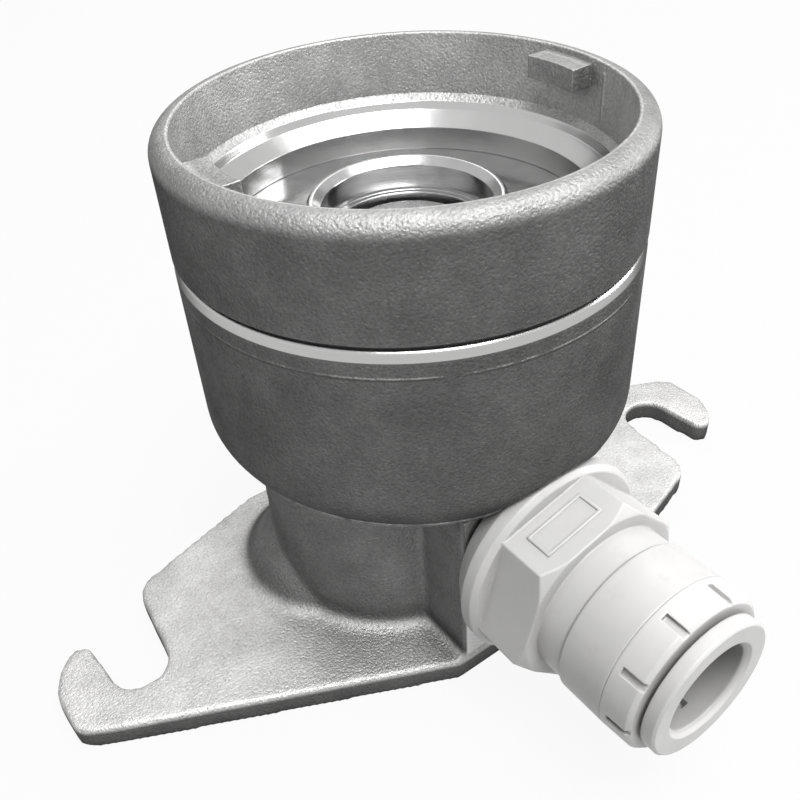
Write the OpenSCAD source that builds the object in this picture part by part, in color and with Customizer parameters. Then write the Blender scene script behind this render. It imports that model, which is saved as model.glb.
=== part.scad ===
// Wall-mounted cleaning socket for keg couplers.
// The origin is the centre of the base underside, on the cup axis. +Z points up through the cup,
// and the tube adaptor points along -Y. All sizes are in millimetres.

/* [Base] */
// Thickness of the mounting plate
plate_t = 4; // [3:0.1:6]
// Distance from the cup axis to the centre of each mounting slot
slot_pcd_r = 50.6; // [46:0.1:56]
// Angle of the left mounting slot before the straight left direction
slot_turn = 4.9; // [0:0.1:10]
// Radius of the mounting slots
slot_r = 4.3; // [3.8:0.1:4.6]
// Width of the hook finger outside each slot
finger_w = 7.7; // [7:0.1:8.4]
// Reach of the plate's front edge from the cup axis at its middle
plate_reach = 25.3; // [24.5:0.1:27]

/* [Neck] */
// Height of the bowl underside
neck_h = 32.1; // [30:0.1:36]
// Radius of the two rounded ends of the neck
neck_r = 19; // [17.5:0.1:21]
// Distance of each rounded end from the cup axis
neck_spread = 6; // [4:0.1:8]
// Turn of the neck's long axis from the X axis
neck_turn = -24; // [-30:0.5:-18]
// Reach of the flared foot beyond the end of the neck
foot_reach = 6.9; // [5:0.1:8]
// Height of the flared foot above the plate
foot_h = 14; // [10:0.5:18]

/* [Bowl] */
// Height of the bowl from its underside to the joint with the collar
bowl_h = 29.6; // [28:0.1:34]
// Radius of the round between the bowl's wall and underside
bowl_round = 6.5; // [5:0.1:10]
// Height of the bright chamfer below the joint
bevel_h = 1.3; // [0.8:0.1:2]

/* [Collar] */
// Radius of the cast inner wall of the cup
cup_r = 28; // [27.5:0.1:30]
// Thickness of the cup wall
cup_wall = 2.7; // [2.6:0.1:3.2]
// Height of the collar above the joint
collar_h = 15.1; // [14:0.1:18]
// Radius of the rim's outer edge
rim_round = 2.2; // [1.2:0.1:2.2]
// Reach of each locking lug from the inner wall
lug_reach = 3.3; // [2:0.1:4]
// Width of each locking lug
lug_w = 8.6; // [6:0.1:12]
// Height of each locking lug
lug_h = 3; // [2:0.1:4]
// Distance from the rim down to the lug's top
lug_drop = 0.9; // [0:0.1:2]

/* [Well] */
// Distance from the cast inner wall in to the turned edge
turned_in = 0.9; // [0.5:0.1:1.2]
// Distance from the cast inner wall in to the well wall
well_in = 3.7; // [3.4:0.1:4.2]
// Depth of the well from its edge to its floor
well_depth = 3.3; // [2.5:0.1:4]
// Height of the turned cone above the well edge
cone_h = 3; // [2.4:0.1:3.6]
// Distance from the joint down to the well floor
floor_drop = 0.9; // [0.5:0.1:1.2]

/* [Seat ring] */
// Thickness of the seat ring's disc
disc_t = 3; // [2.8:0.1:3.6]
// Outer radius of the raised centre ring
ring_r = 13; // [12.6:0.1:14]
// Height of the raised centre ring above the floor
ring_h = 4.1; // [3:0.1:5]
// Radius of the probe bore in the centre ring
probe_r = 11.2; // [10.8:0.1:11.6]
// Radius of the narrower land at the bottom of the probe bore
land_r = 10.3; // [10:0.1:10.6]

/* [Valve] */
// Travel of the valve poppet
poppet_travel = 6; // [5:0.1:6.5]
// Radius of the poppet disc
poppet_r = 12.4; // [12:0.1:13]
// Thickness of the poppet disc
poppet_t = 2.4; // [2:0.1:3]
// Radius of the poppet stem
stem_r = 2.5; // [2:0.1:2.6]
// Mean radius of the return spring
spring_r = 4.7; // [4.6:0.05:4.9]
// Radius of the spring wire
wire_r = 0.6; // [0.5:0.05:0.6]
// Turns of the return spring
spring_turns = 6.5; // [5:0.5:7]

/* [Port] */
// Height of the port axis
port_z = 22.1; // [21.5:0.1:23]
// Width of the port block
block_w = 23.2; // [22.5:0.1:26]
// Outside diameter of the port thread
thread_d = 16.66; // [16:0.02:17]
// Length of the adaptor's thread inside the block
thread_l = 11; // [9:0.1:12]

/* [Adaptor] */
// Radius of the adaptor's flange
flange_r = 14.86; // [14.6:0.02:16]
// Distance from the block face to the flange front
flange_l = 5.7; // [5:0.1:6.5]
// Width across the flats of the hexagon
hex_af = 24.8; // [24:0.1:25.4]
// Length of the hexagon
hex_l = 7.9; // [6:0.1:9]
// Radius of the short neck in front of the hexagon
collar_neck_r = 11; // [10.9:0.1:11.2]
// Length of the short neck in front of the hexagon
collar_neck_l = 4; // [3.5:0.1:5]
// Radius of the barrel
barrel_r = 11.4; // [11.3:0.1:12]
// Length of the barrel
barrel_l = 7; // [6.8:0.1:8]
// Length of the end cap outside the barrel
cap_l = 4.3; // [4:0.1:5]
// Number of grip notches round the end cap
notch_count = 9; // [6:1:12]

/* [Tube grip] */
// Outside diameter of the tube
tube_d = 12.7; // [12.5:0.1:12.7]
// Radius of the collet's flange
collet_flange_r = 9.8; // [9:0.1:10.4]
// Thickness of the collet's flange
collet_flange_t = 1.9; // [1.5:0.1:2.5]
// Gap between the end cap and the collet's flange
collet_gap = 0.6; // [0.6:0.1:1]
// Distance the collet can move out before it grips
collet_out = 1.2; // [0.8:0.1:1.3]

/* [Hidden] */

big_fn = 120;
mid_fn = 72;
small_fn = 32;
cut = 1;
screw_fit = 0.05;
slide_fit = 0.05;
stop_gap = 0.3;

// Heights of the casting
gasket_t = 0.5;
joint_inset = 0.35;
rim_break = 0.3;
joint_z = neck_h + bowl_h;
top_z = joint_z + collar_h;
outer_r = cup_r + cup_wall;
body_top_z = joint_z - gasket_t / 2;
collar_bottom_z = joint_z + gasket_t / 2;

// Collar and well
turned_step = 1.1;
turned_step_in = 0.5;
cast_blend = 0.9;
spigot_in = 0.6;
spigot_foot = 1.5;
ledge_w = 2.3;
floor_z = joint_z - floor_drop;
disc_z = floor_z - disc_t;
well_r = cup_r - well_in;
well_edge_z = floor_z + well_depth;
turned_r = cup_r - turned_in;
turned_z = well_edge_z + cone_h;
spigot_r = cup_r - spigot_in;
spigot_bottom_z = disc_z - spigot_foot;
ledge_r = well_r - ledge_w;
shoulder_z = spigot_bottom_z - stop_gap;

// Seat ring
seat_boss_w = 2;
seat_boss_h = 0.8;
land_drop = 0.5;
ring_break = 0.4;
probe_lead = 1;
o_ring_r = 0.65;
o_ring_play = 0.15;
seat_boss_r = ring_r + seat_boss_w;
seat_z = disc_z - seat_boss_h;
land_top_z = floor_z - land_drop;
ring_top_z = floor_z + ring_h;
disc_r = well_r - screw_fit;
o_ring_groove_r = well_r - 2 * o_ring_r;
o_ring_land = disc_t / 2 - o_ring_r - o_ring_play;

// Bowl, neck and chamber
cavity_in = 0.8;
chamber_floor_t = 5.5;
chamber_r = 11.9;
cage_rise = 2.9;
cage_ring_t = 3;
cage_ledge = 2;
clip_groove = 0.9;
clip_t = 1;
clip_slot = 0.1;
cage_bore_h = 2.6;
cavity_cone_h = 7.4;
bowl_core_r = outer_r - bowl_round;
cavity_r = ledge_r + cavity_in;
cage_z = neck_h + cage_rise;
cage_seat_r = chamber_r + cage_ledge;
cage_top_z = cage_z + cage_ring_t;
cage_bore_top_z = cage_top_z + cage_bore_h;

// Flared feet and the fillet round the neck's base
foot_r = 9.3;
foot_bury = 0.5;
fillet_r = 2.2;
fillet_edge = 0.1;
foot_x = neck_spread + neck_r - foot_r;
foot_arc_r = (foot_h * foot_h + foot_reach * foot_reach) / (2 * foot_reach);

// Round corners of the ears, measured from the slot centre
ear_round = 9.5;
ear_drop = 0.2;
tip_angle = 128.7;
front_in = 0.6;
front_drop = 4.6;
front_r = 3.1;
shoulder_rise = 11;
shoulder_r = 4.9;
front_flat = 1.3;
slot_mouth = 6;
ear_x = ear_round - slot_r - finger_w;
tip_r = finger_w / 4;
tip_x = ear_x + (ear_round - tip_r) * cos(tip_angle);
tip_y = (ear_round - tip_r) * sin(tip_angle) - ear_drop;

// Valve
seal_t = 1.6;
seal_flange_t = 0.8;
seal_in = 0.2;
cap_gap = 1.1;
cap_drop = 0.4;
cap_round = 1;
cap_boss_in = 2.3;
cap_socket_r = 2.4;
cap_socket_h = 1.6;
stud_r = 2.4;
stud_l = 2.6;
stud_hole_l = 3;
spring_boss_r = 3.6;
spring_boss_h = 1.5;
hub_r = 5.8;
hub_drop = 2;
hub_break = 0.8;
hub_nose_r = 3.6;
hub_nose_h = 2.6;
arm_count = 3;
arm_w = 2.4;
cage_rim_w = 2.4;
clip_w = 1.5;
washer_t = 0.6;
clip_disc_t = 0.8;
clip_depth = 0.6;
clip_disc_r = 4.6;
clip_gap_w = 2.2;
stem_tail = 2.3;
stem_break = 0.6;
poppet_top_z = seat_z - seal_t;
poppet_bottom_z = poppet_top_z - poppet_t;
cap_r = land_r - cap_gap;
cap_top_z = land_top_z - cap_drop;
cap_boss_r = cap_r - cap_boss_in;
seal_r = poppet_r - seal_in;
hub_z = cage_z - hub_drop;
spring_z = cage_top_z + washer_t;
spring_h = poppet_bottom_z - spring_z;
clip_z = hub_z - stop_gap - clip_disc_t;
stem_z = clip_z - stem_tail;

// Adaptor stations, measured out from the cup axis along -Y
hex_turn = 14.6;
hex_chamfer_l = 1.6;
hex_chamfer_r = 12.8;
flange_slope_l = 3;
flange_slope_r = 2.1;
flange_break = 0.7;
thread_lead = 0.8;
face_seal_gap = 0.2;
face_seal_w = 2.9;
face_seal_t = 1.1;
relief_gap = 0.8;
relief_l = 12;
barrel_break = 0.3;
face_d = plate_reach;
thread_r = thread_d / 2;
port_r = thread_r + screw_fit;
flange_back_d = face_d + stop_gap;
flange_front_d = face_d + flange_l;
hex_front_d = flange_front_d + hex_l;
neck_front_d = hex_front_d + collar_neck_l;
barrel_front_d = neck_front_d + barrel_l;
cap_front_d = barrel_front_d + cap_l;
collet_back_d = cap_front_d + collet_gap;
collet_front_d = collet_back_d + collet_flange_t;
thread_end_d = face_d - thread_l;
face_seal_in_r = thread_r + face_seal_gap;
face_seal_r = face_seal_in_r + face_seal_w;
recess_d = face_d + face_seal_t;
relief_r = flange_r + relief_gap;
hex_corner_r = hex_af / 2 / cos(30);

// Tube grip
tube_fit = 0.05;
flow_r = 5.1;
tube_stop_l = 1.9;
pocket_w = 2.2;
pocket_set = 0.1;
pocket_l = 3;
barrel_wall = 1.6;
seal_washer_t = 1.1;
head_w = 1.75;
head_l = 1.5;
head_break = 0.3;
head_slope = 0.5;
head_play = 0.25;
head_set = 0.6;
sleeve_w = 1.25;
sleeve_play = 0.1;
cone_play = 0.5;
cone_l = 1.2;
cap_taper = 0.2;
cap_break = 0.5;
mouth_break = 0.7;
collet_break = 0.3;
collet_slot_w = 1.2;
notch_w = 1;
notch_turn = 28;
notch_h = 0.5;
tooth_count = 4;
tooth_w = 3;
tooth_l = 0.9;
tooth_h = 1.1;
tooth_set = 0.4;
tooth_bury = 0.6;
tube_r = tube_d / 2;
tube_bore_r = tube_r + tube_fit;
tube_stop_d = neck_front_d - tube_stop_l;
pocket_r = tube_bore_r + pocket_w;
pocket_d = neck_front_d + pocket_set;
pocket_end_d = pocket_d + pocket_l;
cap_bore_r = barrel_r - barrel_wall;
cap_spigot_d = pocket_end_d + seal_washer_t;
head_r = tube_bore_r + head_w - tube_fit;
head_d = cap_spigot_d + collet_gap + head_set;
head_bore_r = head_r + head_play;
sleeve_r = tube_bore_r + sleeve_w - tube_fit;
sleeve_bore_r = sleeve_r + sleeve_play;
cone_d = head_d + head_l + collet_out + cone_play;

// Places everything that is turned about the port axis
module port_frame() {
    translate([0, 0, port_z])
        rotate([90, 0, 0])
            children();
}

module collar_profile() {
    polygon([
        [ledge_r, spigot_bottom_z],
        [spigot_r, spigot_bottom_z],
        [spigot_r, collar_bottom_z],
        [outer_r - joint_inset, collar_bottom_z],
        [outer_r, collar_bottom_z + joint_inset],
        [outer_r, top_z - rim_round],
        [outer_r - rim_round, top_z - rim_round],
        [outer_r - rim_round, top_z],
        [cup_r + rim_break, top_z],
        [cup_r, top_z - rim_break],
        [cup_r, turned_z + cast_blend],
        [turned_r, turned_z],
        [turned_r - turned_step_in, turned_z - turned_step],
        [well_r, well_edge_z],
        [well_r, disc_z],
        [ledge_r, disc_z]
    ]);
    translate([outer_r - rim_round, top_z - rim_round])
        circle(r = rim_round, $fn = small_fn);
}

// Ring that the two locking lugs are cut from
module lug_profile() {
    translate([cup_r - lug_reach, top_z - lug_drop - lug_h])
        square([lug_reach + cup_wall / 2, lug_h]);
}

module cup_collar() {
    color([0.62, 0.62, 0.63])
        union() {
            rotate_extrude($fn = big_fn)
                collar_profile();
            intersection() {
                rotate_extrude($fn = big_fn)
                    lug_profile();
                translate([-outer_r, -lug_w / 2, top_z - lug_drop - lug_h - cut])
                    cube([2 * outer_r, lug_w, lug_h + 2 * cut]);
            }
        }
}

module collar_gasket() {
    color([0.08, 0.08, 0.08])
        rotate_extrude($fn = big_fn)
            translate([spigot_r + screw_fit, body_top_z])
                square([outer_r - 2 * joint_inset - spigot_r - screw_fit, gasket_t]);
}

module bowl_profile() {
    translate([0, neck_h])
        square([bowl_core_r, bowl_round]);
    translate([bowl_core_r, neck_h + bowl_round])
        circle(r = bowl_round, $fn = big_fn);
    polygon([
        [0, neck_h + bowl_round],
        [outer_r, neck_h + bowl_round],
        [outer_r, body_top_z - bevel_h],
        [outer_r - joint_inset, body_top_z],
        [0, body_top_z]
    ]);
}

module neck_outline() {
    for (side = [-1, 1])
        translate([side * neck_spread, 0])
            circle(r = neck_r, $fn = big_fn);
    square([2 * neck_spread, 2 * neck_r], center = true);
}

// Section of the fillet between the neck and the plate
module fillet_profile() {
    translate([0, plate_t])
        difference() {
            square([foot_bury + fillet_r, fillet_r]);
            translate([foot_bury + fillet_r + fillet_edge, fillet_r + fillet_edge])
                circle(r = fillet_r, $fn = big_fn);
        }
}

// Half section of one flared foot, widest on the plate
module foot_profile() {
    translate([0, plate_t])
        difference() {
            square([foot_r + foot_reach, foot_h]);
            translate([foot_r + foot_arc_r - foot_bury, foot_h])
                circle(r = foot_arc_r, $fn = big_fn);
        }
}

// Outer half of a flared foot, from its centre plane outwards
module neck_foot() {
    intersection() {
        rotate_extrude($fn = mid_fn)
            foot_profile();
        translate([0, -outer_r, plate_t])
            cube([outer_r, 2 * outer_r, foot_h]);
    }
}

// Outline of one ear's round corners, seen from its slot centre
module ear_corner(corner) {
    if (corner == "finger")
        translate([ear_x, -ear_drop])
            circle(r = ear_round, $fn = mid_fn);
    if (corner == "front")
        translate([front_r + front_in - slot_r - finger_w, -front_drop])
            circle(r = front_r, $fn = small_fn);
    if (corner == "shoulder")
        translate([slot_r + shoulder_r, shoulder_rise])
            circle(r = shoulder_r, $fn = small_fn);
}

module ear_frame(turn) {
    rotate([0, 0, turn - slot_turn])
        translate([-slot_pcd_r, 0])
            children();
}

module plate_outline() {
    hull() {
        for (turn = [0, 180]) {
            for (corner = ["finger", "front", "shoulder"])
                ear_frame(turn)
                    ear_corner(corner);
            rotate([0, 0, turn])
                translate([-plate_reach / 2, -plate_reach])
                    square([front_flat * plate_reach, plate_reach]);
        }
    }
}

// Slot with its mouth, which leaves the finger's round tip and the round shoulder
module slot_outline() {
    circle(r = slot_r, $fn = mid_fn);
    difference() {
        polygon([
            [-slot_r, 0],
            [slot_r, 0],
            [slot_r, shoulder_rise],
            [slot_r + shoulder_r, shoulder_rise],
            [slot_r + shoulder_r, slot_mouth * slot_r],
            [tip_x + slot_mouth * cos(tip_angle), slot_mouth * slot_r],
            [tip_x + slot_mouth * cos(tip_angle), tip_y + slot_mouth * sin(tip_angle)],
            [tip_x, tip_y],
            [tip_x + tip_r, tip_y]
        ]);
        translate([tip_x, tip_y])
            circle(r = tip_r, $fn = small_fn);
        ear_corner("shoulder");
    }
}

// Everything turned inside the lower casting about the cup axis
module chamber_profile() {
    polygon([
        [0, chamber_floor_t],
        [chamber_r, chamber_floor_t],
        [chamber_r, cage_z],
        [cage_seat_r, cage_z],
        [cage_seat_r, cage_top_z],
        [cage_seat_r + clip_groove, cage_top_z],
        [cage_seat_r + clip_groove, cage_top_z + clip_t + clip_slot],
        [cage_seat_r, cage_top_z + clip_t + clip_slot],
        [cage_seat_r, cage_bore_top_z],
        [cavity_r, cage_bore_top_z + cavity_cone_h],
        [cavity_r, shoulder_z],
        [spigot_r + screw_fit, shoulder_z],
        [spigot_r + screw_fit, body_top_z + cut],
        [0, body_top_z + cut]
    ]);
}

module lower_bowl() {
    color([0.5, 0.5, 0.52])
        difference() {
            rotate_extrude($fn = big_fn)
                bowl_profile();
            rotate_extrude($fn = big_fn)
                chamber_profile();
            port_frame()
                translate([0, 0, face_d])
                    cylinder(r = relief_r, h = relief_l, $fn = big_fn);
        }
}

module port_neck() {
    color([0.47, 0.47, 0.49])
        difference() {
            union() {
                rotate([0, 0, neck_turn]) {
                    translate([0, 0, plate_t])
                        linear_extrude(neck_h - plate_t)
                            neck_outline();
                    for (side = [-1, 1]) {
                        translate([side * neck_spread, 0, 0])
                            rotate_extrude($fn = big_fn)
                                translate([neck_r - foot_bury, 0])
                                    fillet_profile();
                        translate([-neck_spread, side * (neck_r - foot_bury), 0])
                            rotate([90, 0, 90])
                                linear_extrude(2 * neck_spread)
                                    scale([side, 1])
                                        fillet_profile();
                        rotate([0, 0, 90 - side * 90])
                            translate([foot_x, 0, 0])
                                neck_foot();
                    }
                }
                translate([-block_w / 2, -face_d, plate_t])
                    cube([block_w, face_d - chamber_r, neck_h - plate_t]);
            }
            rotate_extrude($fn = big_fn)
                chamber_profile();
            port_frame()
                cylinder(r = port_r, h = face_d + cut, $fn = mid_fn);
        }
}

module mounting_plate() {
    color([0.53, 0.53, 0.55])
        difference() {
            linear_extrude(plate_t)
                plate_outline();
            for (turn = [0, 180])
                translate([0, 0, -cut])
                    linear_extrude(plate_t + 2 * cut)
                        ear_frame(turn)
                            slot_outline();
        }
}

module seat_ring() {
    color([0.78, 0.78, 0.79])
        rotate_extrude($fn = big_fn)
            polygon([
                [land_r, seat_z],
                [seat_boss_r, seat_z],
                [seat_boss_r, disc_z],
                [disc_r, disc_z],
                [disc_r, disc_z + o_ring_land],
                [o_ring_groove_r, disc_z + o_ring_land],
                [o_ring_groove_r, floor_z - o_ring_land],
                [disc_r, floor_z - o_ring_land],
                [disc_r, floor_z],
                [ring_r, floor_z],
                [ring_r, ring_top_z - ring_break],
                [ring_r - ring_break, ring_top_z],
                [probe_r + probe_lead, ring_top_z],
                [probe_r, ring_top_z - probe_lead],
                [probe_r, land_top_z],
                [land_r, land_top_z]
            ]);
}

module seat_ring_o_ring() {
    color([0.08, 0.08, 0.08])
        rotate_extrude($fn = big_fn)
            translate([well_r - o_ring_r, disc_z + disc_t / 2])
                circle(r = o_ring_r, $fn = small_fn);
}

module valve_poppet() {
    color([0.7, 0.7, 0.72])
        rotate_extrude($fn = mid_fn)
            polygon([
                [0, stem_z],
                [stem_r - stem_break, stem_z],
                [stem_r, stem_z + stem_break],
                [stem_r, clip_z],
                [stem_r - clip_depth, clip_z],
                [stem_r - clip_depth, clip_z + clip_disc_t],
                [stem_r, clip_z + clip_disc_t],
                [stem_r, poppet_bottom_z - spring_boss_h],
                [spring_boss_r, poppet_bottom_z - spring_boss_h],
                [spring_boss_r, poppet_bottom_z],
                [poppet_r, poppet_bottom_z],
                [poppet_r, poppet_top_z],
                [stud_r + screw_fit, poppet_top_z],
                [stud_r + screw_fit, poppet_top_z - stud_hole_l],
                [0, poppet_top_z - stud_hole_l]
            ]);
}

module poppet_cap() {
    color([0.74, 0.74, 0.76])
        difference() {
            rotate_extrude($fn = mid_fn) {
                polygon([
                    [0, poppet_top_z - stud_l],
                    [stud_r, poppet_top_z - stud_l],
                    [stud_r, poppet_top_z],
                    [cap_boss_r, poppet_top_z],
                    [cap_boss_r, poppet_top_z + seal_flange_t],
                    [cap_r, poppet_top_z + seal_flange_t],
                    [cap_r, cap_top_z - cap_round],
                    [cap_r - cap_round, cap_top_z - cap_round],
                    [cap_r - cap_round, cap_top_z],
                    [0, cap_top_z]
                ]);
                translate([cap_r - cap_round, cap_top_z - cap_round])
                    circle(r = cap_round, $fn = small_fn);
            }
            translate([0, 0, cap_top_z - cap_socket_h])
                cylinder(r = cap_socket_r, h = cap_socket_h + cut, $fn = 6);
        }
}

module poppet_seal() {
    color([0.07, 0.07, 0.07])
        rotate_extrude($fn = mid_fn)
            polygon([
                [cap_boss_r, poppet_top_z],
                [seal_r, poppet_top_z],
                [seal_r, seat_z],
                [cap_r, seat_z],
                [cap_r, poppet_top_z + seal_flange_t],
                [cap_boss_r, poppet_top_z + seal_flange_t]
            ]);
}

// Ring of the wire's surface at one step along the spring
function spring_ring(i, steps, sides) =
    let (part = i / steps,
        turn = 360 * spring_turns * part,
        lift = spring_z + wire_r + (spring_h - 2 * wire_r) * part)
    [for (s = [0 : sides - 1])
        let (a = 360 * s / sides,
            r = spring_r + wire_r * cos(a))
        [r * cos(turn), r * sin(turn), lift + wire_r * sin(a)]];

module valve_spring() {
    sides = 10;
    steps = round(20 * spring_turns);
    points = [for (i = [0 : steps]) each spring_ring(i, steps, sides)];
    walls = [for (i = [0 : steps - 1], s = [0 : sides - 1])
        [i * sides + s, i * sides + (s + 1) % sides,
            (i + 1) * sides + (s + 1) % sides, (i + 1) * sides + s]];
    start = [for (s = [sides - 1 : -1 : 0]) s];
    finish = [for (s = [0 : sides - 1]) steps * sides + s];
    color([0.72, 0.72, 0.74])
        polyhedron(points = points, faces = concat(walls, [start], [finish]), convexity = 8);
}

module spring_seat() {
    color([0.66, 0.66, 0.68])
        rotate_extrude($fn = mid_fn)
            translate([hub_nose_r + slide_fit, cage_top_z])
                square([hub_r - hub_nose_r - slide_fit, washer_t]);
}

module valve_cage() {
    color([0.6, 0.6, 0.63])
        difference() {
            union() {
                rotate_extrude($fn = mid_fn) {
                    translate([cage_seat_r - cage_rim_w, cage_z])
                        square([cage_rim_w - screw_fit, cage_ring_t]);
                    polygon([
                        [stem_r + slide_fit, hub_z],
                        [hub_r - hub_break, hub_z],
                        [hub_r, hub_z + hub_break],
                        [hub_r, cage_top_z],
                        [hub_nose_r, cage_top_z],
                        [hub_nose_r, cage_top_z + hub_nose_h],
                        [stem_r + slide_fit, cage_top_z + hub_nose_h]
                    ]);
                }
                for (i = [0 : arm_count - 1])
                    rotate([0, 0, 90 + 360 * i / arm_count])
                        translate([stem_r + cut, -arm_w / 2, cage_z])
                            cube([cage_seat_r - stem_r - 2 * cut, arm_w, cage_ring_t]);
            }
            translate([0, 0, hub_z - cut])
                cylinder(r = stem_r + slide_fit, h = cage_top_z + hub_nose_h - hub_z + 2 * cut,
                    $fn = mid_fn);
        }
}

module cage_circlip() {
    color([0.7, 0.7, 0.72])
        difference() {
            translate([0, 0, cage_top_z])
                rotate_extrude($fn = mid_fn)
                    translate([cage_seat_r - clip_w, 0])
                        square([clip_w + clip_groove - clip_slot, clip_t]);
            translate([0, -arm_w, cage_top_z - cut])
                cube([cage_seat_r + 2 * cut, 2 * arm_w, clip_t + 2 * cut]);
        }
}

module stem_clip() {
    color([0.7, 0.7, 0.72])
        difference() {
            translate([0, 0, clip_z])
                rotate_extrude($fn = mid_fn)
                    translate([stem_r - clip_depth, 0])
                        square([clip_disc_r - stem_r + clip_depth, clip_disc_t]);
            translate([0, -clip_gap_w / 2, clip_z - cut])
                cube([clip_disc_r + cut, clip_gap_w, clip_disc_t + 2 * cut]);
        }
}

module adaptor_profile() {
    polygon([
        [0, thread_end_d],
        [thread_r - thread_lead, thread_end_d],
        [thread_r, thread_end_d + thread_lead],
        [thread_r, recess_d],
        [face_seal_r + screw_fit, recess_d],
        [face_seal_r + screw_fit, flange_back_d],
        [flange_r - flange_slope_r, flange_back_d],
        [flange_r, flange_back_d + flange_slope_l],
        [flange_r, flange_front_d - flange_break],
        [flange_r - flange_break, flange_front_d],
        [collar_neck_r, flange_front_d],
        [collar_neck_r, neck_front_d],
        [barrel_r - barrel_break, neck_front_d],
        [barrel_r, neck_front_d + barrel_break],
        [barrel_r, barrel_front_d],
        [0, barrel_front_d]
    ]);
}

module adaptor_bore_profile() {
    polygon([
        [0, thread_end_d - cut],
        [flow_r, thread_end_d - cut],
        [flow_r, tube_stop_d],
        [tube_bore_r, tube_stop_d],
        [tube_bore_r, pocket_d],
        [pocket_r, pocket_d],
        [pocket_r, pocket_end_d],
        [cap_bore_r, pocket_end_d],
        [cap_bore_r, barrel_front_d + cut],
        [0, barrel_front_d + cut]
    ]);
}

module adaptor_body() {
    color([0.83, 0.83, 0.82])
        port_frame()
            difference() {
                union() {
                    rotate_extrude($fn = big_fn)
                        adaptor_profile();
                    intersection() {
                        translate([0, 0, flange_front_d - flange_break])
                            rotate([0, 0, hex_turn])
                                cylinder(r = hex_corner_r, h = hex_l + flange_break, $fn = 6);
                        rotate_extrude($fn = big_fn)
                            polygon([
                                [0, flange_front_d - flange_break],
                                [flange_r, flange_front_d - flange_break],
                                [flange_r, hex_front_d - hex_chamfer_l],
                                [hex_chamfer_r, hex_front_d],
                                [0, hex_front_d]
                            ]);
                    }
                }
                rotate_extrude($fn = mid_fn)
                    adaptor_bore_profile();
            }
}

module adaptor_face_seal() {
    color([0.08, 0.08, 0.08])
        port_frame()
            rotate_extrude($fn = mid_fn)
                translate([face_seal_in_r, face_d])
                    square([face_seal_r - face_seal_in_r, face_seal_t]);
}

module tube_o_ring() {
    color([0.08, 0.08, 0.08])
        port_frame()
            rotate_extrude($fn = mid_fn)
                translate([(tube_bore_r + pocket_r) / 2, pocket_d + pocket_l / 2])
                    circle(r = (pocket_r - tube_bore_r) / 2, $fn = small_fn);
}

module seal_washer() {
    color([0.75, 0.75, 0.74])
        port_frame()
            rotate_extrude($fn = mid_fn)
                translate([tube_bore_r, pocket_end_d])
                    square([cap_bore_r - screw_fit - tube_bore_r, seal_washer_t]);
}

module collet_profile() {
    polygon([
        [tube_bore_r, head_d],
        [head_r - head_break, head_d],
        [head_r, head_d + head_break],
        [head_r, head_d + head_l - head_slope],
        [sleeve_r, head_d + head_l],
        [sleeve_r, collet_back_d],
        [collet_flange_r, collet_back_d],
        [collet_flange_r, collet_front_d - collet_break],
        [collet_flange_r - collet_break, collet_front_d],
        [tube_bore_r + mouth_break, collet_front_d],
        [tube_bore_r, collet_front_d - mouth_break]
    ]);
}

// One steel tooth set into a finger of the collet
module tooth() {
    translate([tube_bore_r - tooth_bury, -tooth_w / 2, head_d + tooth_set])
        cube([tooth_h, tooth_w, tooth_l]);
}

module tooth_ring() {
    difference() {
        for (i = [0 : tooth_count - 1])
            rotate([0, 0, 45 + 360 * i / tooth_count])
                tooth();
        translate([0, 0, head_d])
            cylinder(r = tube_bore_r, h = head_l, $fn = mid_fn);
    }
}

module collet() {
    color([0.8, 0.8, 0.79])
        port_frame()
            difference() {
                rotate_extrude($fn = mid_fn)
                    collet_profile();
                for (turn = [0, 90])
                    rotate([0, 0, turn])
                        translate([-head_r - cut, -collet_slot_w / 2, head_d - cut])
                            cube([2 * (head_r + cut), collet_slot_w, collet_back_d - head_d]);
                tooth_ring();
            }
}

module collet_teeth() {
    color([0.7, 0.7, 0.72])
        port_frame()
            tooth_ring();
}

module adaptor_end_cap() {
    color([0.8, 0.8, 0.79])
        port_frame()
            difference() {
                rotate_extrude($fn = big_fn)
                    polygon([
                        [head_bore_r, cap_spigot_d],
                        [cap_bore_r - screw_fit, cap_spigot_d],
                        [cap_bore_r - screw_fit, barrel_front_d],
                        [barrel_r, barrel_front_d],
                        [barrel_r - cap_taper, cap_front_d - cap_break],
                        [barrel_r - cap_taper - cap_break, cap_front_d],
                        [sleeve_bore_r, cap_front_d],
                        [sleeve_bore_r, cone_d + cone_l],
                        [head_bore_r, cone_d]
                    ]);
                for (i = [0 : notch_count - 1])
                    rotate([0, 0, notch_turn + 360 * i / notch_count])
                        translate([barrel_r - cap_taper - notch_h, -notch_w / 2, barrel_front_d + cut])
                            cube([notch_h + cut, notch_w, cap_l]);
            }
}

cup_collar();
collar_gasket();
lower_bowl();
port_neck();
mounting_plate();
seat_ring();
seat_ring_o_ring();
valve_poppet();
poppet_cap();
poppet_seal();
valve_spring();
spring_seat();
valve_cage();
cage_circlip();
stem_clip();
adaptor_body();
adaptor_face_seal();
tube_o_ring();
seal_washer();
collet();
collet_teeth();
adaptor_end_cap();
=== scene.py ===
"""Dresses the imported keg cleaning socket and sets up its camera, floor and lights."""

import logging
import math
from dataclasses import dataclass, field, replace
from enum import Enum
from typing import Callable, Iterable

import bpy
from mathutils import Matrix, Vector

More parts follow.
